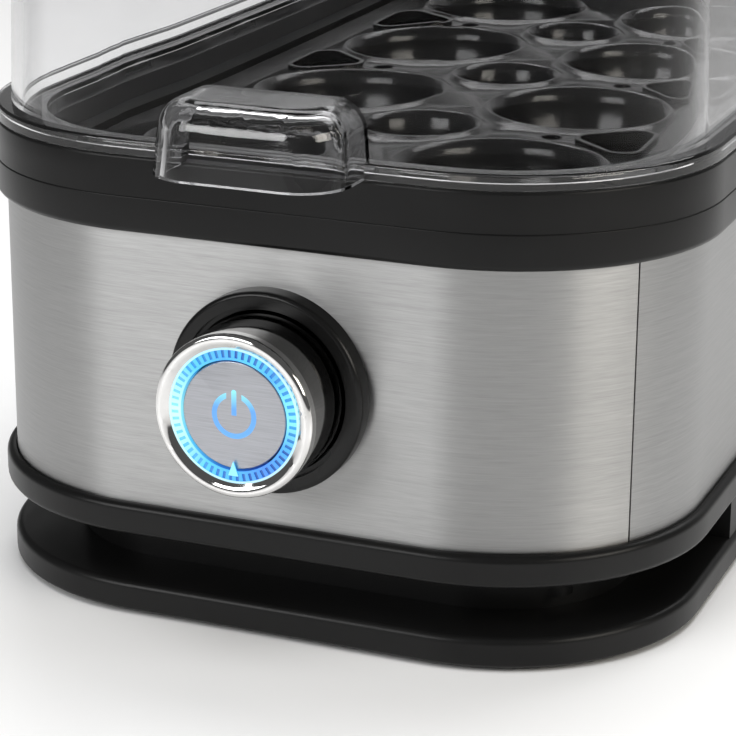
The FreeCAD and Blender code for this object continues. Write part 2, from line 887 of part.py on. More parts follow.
def make_light_ring():
    ring = shaft_ring(light_outer, light_inner, light_front, rim_back)
    flange = shaft_ring(knob_radius - knob_wall - thread_gap, light_inner, rim_back, rim_back + light_flange)
    ring = fuse([ring, flange])
    tick = box(-tick_width / 2, tick_width / 2, light_front - overrun, light_front + tick_depth,
               light_inner + tick_margin, light_outer - tick_margin)
    cuts = []
    for index in range(tick_count):
        copy = tick.copy()
        copy.rotate(at(0, 0, 0), Y, 360 * (index + 0.5) / tick_count)
        copy.translate(Z * knob_height)
        cuts.append(copy)
    ring = cut(ring, cuts)
    low = knob_height - light_inner - marker_root
    face = light_front - marker_height
    half = marker_width / 2
    points = [at(-half, face, low), at(half, face, low), at(0, face, low + marker_length)]
    marker = Part.Face(Part.makePolygon(points + points[:1])).extrude(Y * marker_height)
    return fuse([ring, marker])


def make_rotor():
    ring = shaft_ring(rotor_radius, hub_radius + thread_gap, rotor_front, rotor_back)
    slot = box(-rotor_wall, rotor_wall, rotor_front - overrun, rotor_front + rotor_wall,
               knob_height + hub_radius + rotor_wall, knob_height + rotor_radius + overrun)
    return ring.cut(slot)


export("knob_skirt", make_skirt())
export("face_rim", make_face_rim())
export("light_ring", make_light_ring())
export("encoder_rotor", make_rotor())


# Fixed core of the knob: the sleeve that guides the button and carries the lamps

led_board_front = rim_back + light_flange + part_gap + led_height
led_board_back = led_board_front + led_board_sheet
sleeve_front = led_board_front - sleeve_nose
spring_floor = sleeve_front + spring_bore_depth
sleeve_foot_front = board_face - sleeve_foot


def make_sleeve():
    tube = shaft(sleeve_radius, sleeve_front, board_face)
    flange = shaft(sleeve_flange_radius, led_board_back, led_board_back + sleeve_flange)
    foot = shaft(sleeve_foot_radius, sleeve_foot_front, board_face)
    bore = shaft(plunger_radius + running_gap, sleeve_front - overrun, board_face + overrun)
    pocket = shaft(spring_bore_radius, sleeve_front - overrun, spring_floor)
    return cut(fuse([tube, flange, foot]), [bore, pocket])


def make_led(index):
    angle = 2 * math.pi * index / led_count
    x = led_circle * math.sin(angle)
    z = knob_height + led_circle * math.cos(angle)
    return box(x - led_size / 2, x + led_size / 2, led_board_front - led_height, led_board_front,
               z - led_size / 2, z + led_size / 2)


export("core_sleeve", make_sleeve())
export("led_board", shaft_ring(led_board_radius, sleeve_radius + thread_gap, led_board_front, led_board_back))
export("leds", *[make_led(index) for index in range(led_count)])


# Button: brushed cap with a clear symbol let in, its plunger and spring

button_front = knob_front + button_recess
button_back = button_front + button_depth
button_radius = light_inner - button_gap
collar_front = board_face + thread_gap
tip_front = collar_front + plunger_collar_depth
tip_end = tip_front + plunger_tip_length


def make_symbol(grow):
    """An open circle with an upright bar, let into the cap."""
    low = button_front - grow
    high = button_front + symbol_depth
    ring = shaft_ring(symbol_radius + symbol_line / 2, symbol_radius - symbol_line / 2, low, high)
    gap = box(-symbol_gap_half, symbol_gap_half, low - overrun, high + overrun,
              knob_height, knob_height + symbol_radius + symbol_line)
    bar_top = knob_height + symbol_radius + symbol_line / 2
    bar = box(-symbol_line / 2, symbol_line / 2, low, high, bar_top - symbol_bar, bar_top)
    tip = shaft(symbol_line / 2, low, high, 0, bar_top)
    return [ring.cut(gap), fuse([bar, tip])]


def make_button_cap():
    cap = shaft(button_radius, button_front, button_back)
    cap = round_hoops(cap, button_radius, button_front, button_round)
    return cut(cap, make_symbol(overrun))


def make_plunger():
    rod = shaft(plunger_radius, button_back, board_face + thread_gap)
    collar = shaft(plunger_radius + plunger_collar, collar_front, tip_front)
    tip = shaft(plunger_tip_radius, tip_front, tip_end)
    return fuse([rod, collar, tip])


def make_spring():
    length = spring_floor - button_back - spring_wire - 2 * thread_gap
    spring = coil(spring_radius, spring_wire, length, spring_turns)
    spring.rotate(at(0, 0, 0), X, -90)
    spring.translate(at(0, button_back + spring_wire / 2 + thread_gap, knob_height))
    return spring


export("button_cap", make_button_cap())
export("power_symbol", *make_symbol(0))
export("button_plunger", make_plunger())
export("button_spring", make_spring())


# Control board with what is on it

def make_board():
    half = board_width / 2
    board = box(-half, half, board_face, board_back, board_bottom, pillar_top)
    middle_hole = shaft(plunger_radius + plunger_collar + part_gap, board_face - overrun, board_back + overrun)
    holes = [shaft(screw_radius + seat_gap, board_face - overrun, board_back + overrun, x, z)
             for x, z in board_holes]
    return cut(board, [middle_hole] + holes)


def make_board_screw(x, z):
    head = shaft(screw_head_radius, board_face - screw_head_height, board_face, x, z)
    return fuse([head, shaft(screw_radius, board_face, board_back + pillar_depth - base_wall / 2, x, z)])


def make_encoder():
    half = encoder_width / 2
    housing = box(-half, half, board_face - encoder_depth, board_face, knob_height - half, knob_height + half)
    rotor_room = shaft(rotor_radius + running_gap, rotor_front - seat_gap, board_face + overrun)
    mouth = shaft(hub_radius + part_gap, board_face - encoder_depth - overrun, board_face)
    return cut(housing, [rotor_room, mouth])


def make_switch():
    housing = shaft(switch_radius, board_back, board_back + switch_depth)
    mouth_depth = tip_front + button_travel + part_gap - board_back
    mouth = shaft(plunger_radius + plunger_collar + part_gap, board_back - overrun, board_back + mouth_depth)
    bore = shaft(plunger_tip_radius + part_gap, board_back, tip_end + button_travel + part_gap)
    return cut(housing, [mouth, bore])


connector_z = board_bottom + connector_height / 2
connector_places = [-connector_spread / 2, 0, connector_spread / 2]
connector_back = board_back + connector_depth


def make_connector(x):
    if abs(x) > 0:
        x -= math.copysign(pillar_width, x)
    return box(x - connector_width / 2, x + connector_width / 2, board_back, connector_back,
               connector_z - connector_height / 2, connector_z + connector_height / 2)


relay_low = pillar_top - relay_height
relay = box(relay_place - relay_width / 2, relay_place + relay_width / 2, board_back, board_back + relay_depth,
            relay_low - relay_height / 2, relay_low + relay_height / 2)
capacitor = shaft(relay_height / 2, board_back, board_back + relay_depth, -relay_place, relay_low)
export("control_board", make_board())
export("board_screws", *[make_board_screw(x, z) for x, z in board_holes])
export("encoder_housing", make_encoder())
export("push_switch", make_switch())
export("board_parts", relay, capacitor, *[make_connector(x) for x in connector_places])


# Terminal block on the floor by the gland, and the inner wires

block_x = body_width / 2 + neck_offset - base_wall - block_inset - block_width / 2
block_front = gland_y - block_length / 2
block_z = floor_top + block_height / 2


def make_terminal_block():
    half = block_width / 2
    body = box(block_x - half, block_x + half, block_front, block_front + block_length,
               floor_top, floor_top + block_height)
    pitch = block_length / 3
    wells = [pole(screw_head_radius, block_x, block_front + pitch * (index + 0.5),
                  floor_top + block_height - screw_head_height, floor_top + block_height + overrun)
             for index in range(3)]
    return cut(body, wells)


def wire_to_element(side):
    """From a board connector back, up, and back again to the element's lead."""
    x = side * (connector_spread / 2 - pillar_width)
    lead_x = side * element_spread / 2
    turn_y = connector_back + wire_drop
    end = fuse_start if side > 0 else fuse_end
    points = [at(x, connector_back, connector_z), at(x, turn_y, connector_z),
              at(lead_x, turn_y, element_level), at(lead_x, end, element_level)]
    return bent_tube(points, wire_radius, wire_bend)


def wire_to_thermostat(side):
    """From beside the element's wire up and back to a blade of the thermostat."""
    x = side * (connector_spread / 2 - pillar_width - wire_pitch)
    blade_x = side * blade_spread / 2
    level = pan_bottom - thermostat_height - blade_height / 2
    turn_y = connector_back + wire_drop
    points = [at(x, connector_back, connector_z), at(x, turn_y, connector_z), at(blade_x, turn_y, level),
              at(blade_x, front + thermostat_place - blade_width / 2, level)]
    return bent_tube(points, wire_radius, wire_bend)


def wire_to_block():
    """From the middle connector down to the floor and back to the terminal block."""
    low = block_z
    turn_y = connector_back + wire_drop
    points = [at(0, connector_back, connector_z), at(0, turn_y, connector_z), at(block_x / 2, turn_y, low),
              at(block_x, turn_y + wire_drop, low), at(block_x, block_front, low)]
    return bent_tube(points, wire_radius, wire_bend)


export("terminal_block", make_terminal_block())
export("inner_wires", wire_to_element(-1), wire_to_element(1), wire_to_thermostat(-1), wire_to_thermostat(1),
       wire_to_block())


# Egg tray with cups, steam holes and cut-outs

bead_top = tray_plane + seat_bead_height
cup_rim = bead_top - seat_bevel
bowl_depth = cup_depth - (tray_plane - cup_rim)


def make_cup(x, y):
    outer = seat_radius + cup_wall
    return bowl(outer, bowl_depth + cup_wall, cup_rim, [(outer, tray_plane), (0, tray_plane)], x, y)


def make_cup_hollow(x, y):
    mouth = seat_radius + seat_bevel
    return bowl(seat_radius, bowl_depth, cup_rim, [(mouth, bead_top), (mouth, bead_top + overrun),
                                                   (0, bead_top + overrun)], x, y)


def make_bead(x, y, radius):
    outer = radius + seat_bevel + seat_bead
    return turned([(0, tray_underside), (outer, tray_underside), (outer, tray_plane),
                   (outer - seat_bead_height, bead_top), (0, bead_top)], x, y)


def cutout_wire(side, y, grow, z):
    """A rounded triangle that points at the middle of the tray."""
    corners = [(cutout_apex, 0), (cutout_base, cutout_half), (cutout_base, -cutout_half)]
    points = [at(side * x, y + dy, z) for x, dy in corners]
    face = Part.Face(Part.makePolygon(points + points[:1]))
    prism = face.extrude(Z * overrun)
    upright = [edge for edge in prism.Edges if edge.BoundBox.ZLength > overrun / 2]
    prism = prism.makeFillet(cutout_round, upright)
    top = [f for f in prism.Faces if f.BoundBox.ZLength < overrun / 2 and f.BoundBox.ZMin > z + overrun / 2]
    wire = top[0].OuterWire.makeOffset2D(grow) if grow else top[0].OuterWire
    wire.translate(Z * -overrun)
    return wire


def make_cutout(side, y, grow, low, high):
    return Part.Face(cutout_wire(side, y, grow, low)).extrude(Z * (high - low))


def make_tray():
    cups = [(x, y) for x in columns for y in rows]
    sides = [(side, y) for side in (-1, 1) for y in gaps_between_rows]
    solids = [slab(tray_offset, tray_underside, tray_plane)]
    solids += [make_cup(x, y) for x, y in cups]
    solids += [make_bead(x, y, seat_radius) for x, y in cups]
    solids += [make_bead(0, y, vent_radius) for y in gaps_between_rows]
    solids += [pole(vent_radius + cup_wall, 0, y, tray_plane - vent_collar, tray_plane)
               for y in gaps_between_rows]
    solids += [make_cutout(side, y, cutout_bead, tray_underside, tray_plane + cutout_bead_height)
               for side, y in sides]
    tray = fuse(solids)
    low = tray_plane - cup_depth - cup_wall - overrun
    high = bead_top + overrun
    holes = [make_cup_hollow(x, y) for x, y in cups]
    holes += [pole(cup_vent_radius, x, y, low, high) for x, y in cups]
    holes += [turned([(0, low), (vent_radius, low), (vent_radius, bead_top - seat_bevel),
                      (vent_radius + seat_bevel, bead_top), (vent_radius + seat_bevel, high), (0, high)], 0, y)
              for y in gaps_between_rows]
    holes += [pole(pin_hole_radius, side * pin_hole_place, y, low, high) for side, y in sides]
    holes += [make_cutout(side, y, 0, low, high + overrun) for side, y in sides]
    for hole in holes:
        tray = tray.cut(hole)
    return tray


export("egg_tray", make_tray())


# Clear lid: walls, flange, spigot and the hollow handle

wall_base = flange_offset - lid_wall_inset
wall_top = wall_base - lid_draft
flange_top = ring_top + flange_thickness
spigot_offset = land_offset - spigot_gap
handle_top = ring_top + handle_height


def handle_solid(inset, low, high):
    """The handle's hood, narrowing upwards, drawn in by inset on every side."""
    deep = front - wall_top + handle_corner + overrun

    def level(z, shrink):
        half = handle_half_width - inset - shrink
        reach = front - flange_offset - handle_reach + inset + shrink
        return rounded_face(-half, half, reach, deep, handle_corner - inset, z).OuterWire

    return Part.makeLoft([level(low, 0), level(high, handle_draft)], True, True)


def round_top(shape, z, radius):
    near = seat_gap / 5
    edges = [edge for edge in shape.Edges if all(abs(p.z - z) < near for p in edge_points(edge))]
    return shape.makeFillet(radius, edges)


def make_lid():
    walls = taper(wall_base, ring_top, wall_top, lid_top)
    walls = round_outline(walls, wall_top, lid_top, lid_top_round)
    flange = slab(flange_offset, ring_top, flange_top)
    flange = round_outline(flange, flange_offset, flange_top, flange_round)
    spigot = slab(spigot_offset, ring_top - spigot_depth, ring_top)
    hood = round_top(handle_solid(0, ring_top, handle_top), handle_top, handle_top_round)
    inside = taper(wall_base - lid_wall, ring_top, wall_top - lid_wall, lid_top - lid_wall)
    inside = round_outline(inside, wall_top - lid_wall, lid_top - lid_wall, lid_top_round - lid_wall)
    outside_walls = walls.cut(inside)
    hollow = round_top(handle_solid(handle_wall, ring_top, handle_top - handle_wall), handle_top - handle_wall,
                       handle_top_round - handle_wall)
    hollow = hollow.fuse(handle_solid(handle_wall, ring_top - overrun, ring_top))
    hood = hood.cut(hollow).cut(walls)
    grip = hollow.cut(walls)
    flange = flange.cut(slab(spigot_offset - spigot_wall, ring_top - overrun, flange_top + overrun))
    flange = flange.cut(slab(wall_base - lid_wall, ring_top + flange_thickness / 2, flange_top + overrun))
    spigot = spigot.cut(slab(spigot_offset - spigot_wall, ring_top - spigot_depth - overrun,
                             ring_top + overrun))
    lid = fuse([outside_walls, flange.cut(grip), spigot, hood])
    vents = [pole(lid_vent_radius, side * lid_vent_spread, middle, lid_top - lid_wall - overrun,
                  lid_top + overrun) for side in (-1, 1)]
    return cut(lid, vents)


export("lid", make_lid())
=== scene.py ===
import json
import math

import bmesh
import bpy
from mathutils import Matrix, Vector


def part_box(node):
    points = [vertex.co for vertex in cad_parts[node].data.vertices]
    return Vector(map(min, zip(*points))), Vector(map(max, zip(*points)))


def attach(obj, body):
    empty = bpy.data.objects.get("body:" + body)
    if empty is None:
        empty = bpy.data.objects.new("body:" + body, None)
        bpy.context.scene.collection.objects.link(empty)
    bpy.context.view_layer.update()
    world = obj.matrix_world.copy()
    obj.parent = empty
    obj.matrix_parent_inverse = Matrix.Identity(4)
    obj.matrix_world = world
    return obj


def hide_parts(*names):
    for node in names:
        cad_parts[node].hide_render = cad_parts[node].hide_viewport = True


# An egg cooker for eight eggs, dressed for its picture. Metres, +Z up, the front towards -Y.
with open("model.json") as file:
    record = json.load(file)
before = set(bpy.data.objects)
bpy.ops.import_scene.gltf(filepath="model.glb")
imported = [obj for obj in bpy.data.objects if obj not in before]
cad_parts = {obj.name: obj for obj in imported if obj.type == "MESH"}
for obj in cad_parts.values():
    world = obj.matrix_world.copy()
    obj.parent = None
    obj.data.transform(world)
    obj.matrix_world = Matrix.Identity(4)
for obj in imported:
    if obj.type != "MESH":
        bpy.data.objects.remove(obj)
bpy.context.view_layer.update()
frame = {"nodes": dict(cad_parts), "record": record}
nodes = frame["nodes"]
MM = 0.001


# Camera at the photograph's viewpoint: it looks at VIEW_TARGET from the right of the front and from above

PICTURE = 736
SENSOR = 36.0
VIEW_AZIMUTH = math.radians(22.003)
VIEW_ELEVATION = math.radians(18.29)
VIEW_ROLL = math.radians(0.365)
FOCAL_PIXELS = 2605.2
VIEW_DISTANCE = 0.4732
VIEW_TARGET = Vector((0.01912, -0.12115, 0.05692))
NEAR_CLIP = 0.01
FAR_CLIP = 50


def towards(turn, height):
    """The direction that lies turn to the right of the front and height above the floor."""
    level = math.cos(height)
    return Vector((math.sin(turn) * level, -math.cos(turn) * level, math.sin(height)))


def facing(place, direction):
    """The placement of a camera or lamp that stands at place and looks along direction."""
    return Matrix.Translation(place) @ direction.to_track_quat("-Z", "Y").to_matrix().to_4x4()


def link(name, data):
    thing = bpy.data.objects.new(name, data)
    bpy.context.scene.collection.objects.link(thing)
    return thing


def make_camera():
    camera = bpy.data.cameras.new("photo_camera")
    camera.sensor_width = SENSOR
    camera.lens = SENSOR * FOCAL_PIXELS / PICTURE
    camera.clip_start = NEAR_CLIP
    camera.clip_end = FAR_CLIP
    holder = link("photo_camera", camera)
    away = towards(VIEW_AZIMUTH, VIEW_ELEVATION)
    upright = facing(VIEW_TARGET + away * VIEW_DISTANCE, -away)
    holder.matrix_world = upright @ Matrix.Rotation(VIEW_ROLL, 4, "Z")
    bpy.context.scene.camera = holder


# Finishes. Noise patterns are given by how often they change in a metre, evenly or along X, Y and Z.

EVEN = (1, 1, 1)
NOISE_RANGE = (0.3, 0.7)
QUARTER_TURN = 0.25
# The colour mixer's factor, first and second colour, and its result
MIX_SOCKETS = (0, 6, 7)
MIX_RESULT = 2


def rgb(red, green, blue):
    return (red, green, blue, 1)


class Finish:
    """A material whose nodes are added one small step at a time."""

    def __init__(self, name, **values):
        self.material = bpy.data.materials.new(name)
        self.material.use_nodes = True
        self.nodes = self.material.node_tree.nodes
        self.links = self.material.node_tree.links
        self.shader = self.nodes["Principled BSDF"]
        for socket, value in values.items():
            self.shader.inputs[socket.replace("_", " ")].default_value = value
        self.place = self.nodes.new("ShaderNodeTexCoord").outputs["Object"]

    def join(self, source, target):
        self.links.new(source, target)

    def feed(self, target, value):
        """A number, a colour or another node's output, given to a socket."""
        if isinstance(value, bpy.types.NodeSocket):
            self.join(value, target)
        else:
            target.default_value = value

    def step(self, kind, **inputs):
        node = self.nodes.new("ShaderNode" + kind)
        for socket, value in inputs.items():
            self.feed(node.inputs[socket.replace("_", " ")], value)
        return node

    def noise(self, stretch=EVEN, scale=1.0, detail=3.0, roughness=0.5):
        """Noise on the object's own coordinates."""
        place = self.step("Mapping", Vector=self.place, Scale=stretch).outputs["Vector"]
        texture = self.step("TexNoise", Vector=place, Scale=scale, Detail=detail, Roughness=roughness)
        return texture.outputs["Fac"]

    def math(self, operation, first, second=0.0):
        node = self.nodes.new("ShaderNodeMath")
        node.operation = operation
        self.feed(node.inputs[0], first)
        self.feed(node.inputs[1], second)
        return node.outputs[0]

    def weigh(self, first, first_share, second, second_share):
        """Two patterns added, each by its share."""
        return self.math("ADD", self.math("MULTIPLY", first, first_share),
                         self.math("MULTIPLY", second, second_share))

    def ramp(self, factor, stops):
        """A colour or grey that changes along factor, given as (position, colour) stops."""
        node = self.step("ValToRGB", Fac=factor)
        elements = node.color_ramp.elements
        while len(elements) < len(stops):
            elements.new(1)
        for element, (position, colour) in zip(elements, stops):
            element.position = position
            element.color = colour if hasattr(colour, "__len__") else rgb(colour, colour, colour)
        return node.outputs["Color"]

    def mottle(self, factor, dark, light, between=NOISE_RANGE):
        """Base colour from dark to light between two values of factor."""
        self.drive("Base Color", self.ramp(factor, list(zip(between, (dark, light)))))

    def blend(self, factor, first, second):
        """One colour where factor is 0, the other where it is 1."""
        node = self.nodes.new("ShaderNodeMix")
        node.data_type = "RGBA"
        for socket, value in zip(MIX_SOCKETS, (factor, first, second)):
            self.feed(node.inputs[socket], value)
        return node.outputs[MIX_RESULT]

    def spread(self, factor, low, high):
        """The usual range of a noise mapped to low and high."""
        start, end = NOISE_RANGE
        return self.step("MapRange", Value=factor, From_Min=start, From_Max=end,
                         To_Min=low, To_Max=high).outputs["Result"]

    def bump(self, height, depth):
        """Relief of that depth, in metres."""
        relief = self.step("Bump", Height=height, Distance=depth, Strength=1.0)
        self.drive("Normal", relief.outputs["Normal"])

    def drive(self, socket, value):
        self.join(value, self.shader.inputs[socket])

    def glow(self, colour, strength):
        self.drive("Emission Color", colour)
        self.shader.inputs["Emission Strength"].default_value = strength


# Moulded plastics: name, dark, light, roughness from and to, grain size, grain depth, specular level
PLASTICS = {
    "ring": ("ring_plastic", 0.005, 0.008, 0.28, 0.36, 0.35 * MM, 0.010 * MM, 0.19),
    "shell": ("shell_plastic", 0.006, 0.009, 0.30, 0.40, 0.35 * MM, 0.012 * MM, 0.22),
    "tray": ("tray_plastic", 0.006, 0.009, 0.14, 0.22, 0.5 * MM, 0.005 * MM, 0.32),
    "bezel": ("bezel_plastic", 0.005, 0.008, 0.22, 0.30, 0.3 * MM, 0.005 * MM, 0.25),
    "dark": ("inner_plastic", 0.02, 0.035, 0.40, 0.55, 0.4 * MM, 0.02 * MM, 0.5),
    "white": ("white_plastic", 0.62, 0.74, 0.35, 0.5, 0.4 * MM, 0.01 * MM, 0.5),
    "wire": ("wire_jacket", rgb(0.42, 0.03, 0.025), rgb(0.55, 0.05, 0.04),
             0.35, 0.5, 0.4 * MM, 0.01 * MM, 0.5),
    "seal": ("silicone_seal", rgb(0.42, 0.20, 0.16), rgb(0.52, 0.27, 0.2),
             0.5, 0.65, 0.5 * MM, 0.02 * MM, 0.5),
}
PLASTIC_PATCHES = 38.0
PLASTIC_RANGE = (0.32, 0.68)


def moulded_plastic(name, dark, light, rough_low, rough_high, grain_size, grain_depth, specular):
    """Moulded plastic with a fine spark-eroded grain and faint wear in its gloss."""
    finish = Finish(name, Specular_IOR_Level=specular)
    broad = finish.noise(scale=PLASTIC_PATCHES, detail=4.0)
    grain = finish.noise(scale=1.0 / grain_size, detail=2.0, roughness=0.6)
    finish.mottle(broad, dark, light, PLASTIC_RANGE)
    finish.drive("Roughness", finish.spread(broad, rough_low, rough_high))
    finish.bump(grain, grain_depth)
    return finish.material


HAIR_LINES = (60, 60, 2300)
FINE_LINES = (190, 190, 6000)
STEEL_CLOUDS = (14, 14, 40)
STEEL_DARK = rgb(0.33, 0.33, 0.328)
STEEL_LIGHT = rgb(0.46, 0.46, 0.458)
STEEL_RANGE = (0.34, 0.66)
STEEL_ROUGHNESS = (0.32, 0.42)
LINE_SHARE, CLOUD_SHARE, DULL_SHARE = 0.8, 0.2, 0.06
BRUSHED_DEPTH = 0.006 * MM


def brushed_steel():
    """Steel brushed along the band: short hair lines with a soft change of gloss between them."""
    finish = Finish("brushed_steel", Metallic=1.0, Anisotropic=0.85, Anisotropic_Rotation=QUARTER_TURN)
    lines = finish.noise(HAIR_LINES, roughness=0.62)
    fine = finish.noise(FINE_LINES, detail=2.0, roughness=0.6)
    cloud = finish.noise(STEEL_CLOUDS, detail=2.0)
    mixed = finish.weigh(lines, 0.5, fine, 0.5)
    finish.mottle(finish.weigh(mixed, LINE_SHARE, cloud, CLOUD_SHARE), STEEL_DARK, STEEL_LIGHT, STEEL_RANGE)
    streaks = finish.spread(mixed, *STEEL_ROUGHNESS)
    finish.drive("Roughness", finish.math("ADD", streaks, finish.math("MULTIPLY", cloud, DULL_SHARE)))
    tangent = finish.nodes.new("ShaderNodeTangent")
    tangent.direction_type = "RADIAL"
    tangent.axis = "Z"
    finish.drive("Tangent", tangent.outputs["Tangent"])
    finish.bump(mixed, BRUSHED_DEPTH)
    return finish.material


CHROME_HAZE = 260.0
CHROME_ROUGHNESS = (0.04, 0.08)


def polished_chrome(name, dark, light):
    finish = Finish(name, Metallic=1.0)
    haze = finish.noise(scale=CHROME_HAZE)
    finish.mottle(haze, dark, light)
    finish.drive("Roughness", finish.spread(haze, *CHROME_ROUGHNESS))
    return finish.material


BUTTON_LINES = (110, 110, 4200)
BUTTON_DARK = rgb(0.34, 0.348, 0.372)
BUTTON_LIGHT = rgb(0.44, 0.448, 0.48)
BUTTON_ROUGHNESS = (0.28, 0.40)


def brushed_button():
    """Aluminium brushed straight across."""
    finish = Finish("brushed_button", Metallic=0.9, Anisotropic=0.4, Anisotropic_Rotation=QUARTER_TURN)
    lines = finish.noise(BUTTON_LINES, roughness=0.6)
    finish.mottle(lines, BUTTON_DARK, BUTTON_LIGHT, PLASTIC_RANGE)
    finish.drive("Roughness", finish.spread(lines, *BUTTON_ROUGHNESS))
    finish.bump(lines, BRUSHED_DEPTH)
    return finish.material


CLEAR_HAZE = 30.0
CLEAR_DARK = rgb(0.955, 0.955, 0.962)
CLEAR_LIGHT = rgb(0.975, 0.975, 0.98)
CLEAR_SHADOW = rgb(0.93, 0.93, 0.935)


def clear_plastic(name, shine):
    """Clear moulded plastic that lets the lamps through to what is under it."""
    finish = Finish(name, IOR=1.49, Transmission_Weight=1.0, Roughness=0.0,
                    Specular_Tint=rgb(shine, shine, shine))
    finish.mottle(finish.noise(scale=CLEAR_HAZE, detail=2.0), CLEAR_DARK, CLEAR_LIGHT)
    through = finish.step("BsdfTransparent", Color=CLEAR_SHADOW).outputs[0]
    shadow = finish.step("LightPath").outputs["Is Shadow Ray"]
    either = finish.step("MixShader", Fac=shadow)
    finish.join(finish.shader.outputs[0], either.inputs[1])
    finish.join(through, either.inputs[2])
    finish.join(either.outputs[0], finish.nodes["Material Output"].inputs["Surface"])
    return finish.material


# The knob's light, on its face and in its grooves, by the share of a turn from the left down past the bottom
WHITE_GLOW = rgb(0.72, 1.0, 0.95)
PALE_GLOW = rgb(0.5, 0.95, 0.97)
ICE_GLOW = rgb(0.45, 0.95, 0.97)
CYAN_GLOW = rgb(0.08, 0.62, 0.95)
SKY_GLOW = rgb(0.06, 0.42, 0.95)
BLUE_GLOW = rgb(0.05, 0.22, 0.90)
DEEP_GLOW = rgb(0.01, 0.05, 0.32)
MARKER_GLOW = rgb(0.35, 0.9, 1.0)
RING_GLOW = [
    (0.0, WHITE_GLOW), (0.08, PALE_GLOW), (0.17, CYAN_GLOW), (0.27, SKY_GLOW), (0.34, BLUE_GLOW),
    (0.43, SKY_GLOW), (0.50, rgb(0.25, 0.85, 1.0)), (0.57, rgb(0.2, 0.8, 0.98)), (0.63, SKY_GLOW),
    (0.69, CYAN_GLOW), (0.78, SKY_GLOW), (0.87, CYAN_GLOW), (0.94, ICE_GLOW), (1.0, WHITE_GLOW),
]
GROOVE_GLOW = [
    (0.0, rgb(0.30, 0.85, 0.95)), (0.10, rgb(0.10, 0.55, 0.9)), (0.20, rgb(0.02, 0.15, 0.55)),
    (0.30, DEEP_GLOW), (0.42, DEEP_GLOW), (0.50, rgb(0.03, 0.35, 0.75)), (0.62, rgb(0.02, 0.2, 0.6)),
    (0.75, DEEP_GLOW), (0.88, rgb(0.03, 0.3, 0.7)), (1.0, rgb(0.30, 0.85, 0.95)),
]
MILKY = rgb(0.04, 0.12, 0.22)
MARKER_DEPTH = 0.2 * MM
GROOVE_START = 0.5 * MM
EDGE_RADIUS = 12.4 * MM
EDGE_SHARE = 0.75
RING_STRENGTH = 0.95
SYMBOL_GLOW = [(0.1, rgb(0.14, 0.42, 0.92)), (0.62, rgb(0.12, 0.36, 0.86)), (0.95, rgb(0.35, 0.95, 0.98))]
SYMBOL_SPAN = 10 * MM
SYMBOL_STRENGTH = 0.85


def around_knob(finish):
    """Place from the middle of the lit ring's front: right, inward and up."""
    low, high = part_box("light_ring")
    centre = ((low[0] + high[0]) / 2, low[1], (low[2] + high[2]) / 2)
    mapping = finish.step("Mapping", Vector=finish.place, Location=[-c for c in centre])
    return finish.step("SeparateXYZ", Vector=mapping.outputs["Vector"]).outputs


def lit_ring():
    """Milky plastic lit from behind: white at the left, cyan and blue elsewhere, deep blue in its grooves."""
    finish = Finish("lit_ring", Roughness=0.3, Base_Color=MILKY)
    place = around_knob(finish)
    angle = finish.math("ARCTAN2", place["Z"], place["X"])
    turn = finish.math("ADD", finish.math("DIVIDE", angle, 2 * math.pi), 0.5)
    square = finish.math("ADD", finish.math("MULTIPLY", place["X"], place["X"]),
                         finish.math("MULTIPLY", place["Z"], place["Z"]))
    groove = finish.math("GREATER_THAN", place["Y"], GROOVE_START)
    edge = finish.math("GREATER_THAN", finish.math("SQRT", square), EDGE_RADIUS)
    marker = finish.math("LESS_THAN", place["Y"], MARKER_DEPTH)
    face = finish.blend(groove, finish.ramp(turn, RING_GLOW), finish.ramp(turn, GROOVE_GLOW))
    edged = finish.blend(finish.math("MULTIPLY", edge, EDGE_SHARE), face, WHITE_GLOW)
    finish.glow(finish.blend(marker, edged, MARKER_GLOW), RING_STRENGTH)
    return finish.material


def lit_symbol():
    """The button's window, cyan at its top and soft blue below."""
    finish = Finish("lit_symbol", Roughness=0.3, Base_Color=MILKY)
    height = finish.math("ADD", finish.math("MULTIPLY", around_knob(finish)["Z"], 1 / SYMBOL_SPAN), 0.5)
    finish.glow(finish.ramp(height, SYMBOL_GLOW), SYMBOL_STRENGTH)
    return finish.material


METAL_HAZE = 420.0
METAL_DARK_SHARE = 0.78
METAL_ROUGH_SHARES = (0.8, 1.25)
METAL_DEPTH = 0.01 * MM


def hardware_metal(name, colour, roughness):
    """Plain sheet or zinc-plated metal with a little haze."""
    finish = Finish(name, Metallic=1.0)
    haze = finish.noise(scale=METAL_HAZE, detail=4.0)
    finish.mottle(haze, rgb(*(c * METAL_DARK_SHARE for c in colour)), rgb(*colour))
    finish.drive("Roughness", finish.spread(haze, *(roughness * share for share in METAL_ROUGH_SHARES)))
    finish.bump(haze, METAL_DEPTH)
    return finish.material


RUBBER_GRAIN = 1900.0
RUBBER_GREYS = (0.014, 0.028)
RUBBER_ROUGHNESS = (0.62, 0.82)
RUBBER_DEPTH = 0.03 * MM


def rubber():
    finish = Finish("rubber", Specular_IOR_Level=0.35)
    grain = finish.noise(scale=RUBBER_GRAIN)
    finish.mottle(grain, *RUBBER_GREYS)
    finish.drive("Roughness", finish.spread(grain, *RUBBER_ROUGHNESS))
    finish.bump(grain, RUBBER_DEPTH)
    return finish.material


TRACKS = 420.0
BOARD_GREEN = rgb(0.02, 0.10, 0.05)
TRACK_GREEN = rgb(0.03, 0.17, 0.08)
TRACK_RANGE = (0.35, 0.45)
TRACK_DEPTH = 0.04 * MM


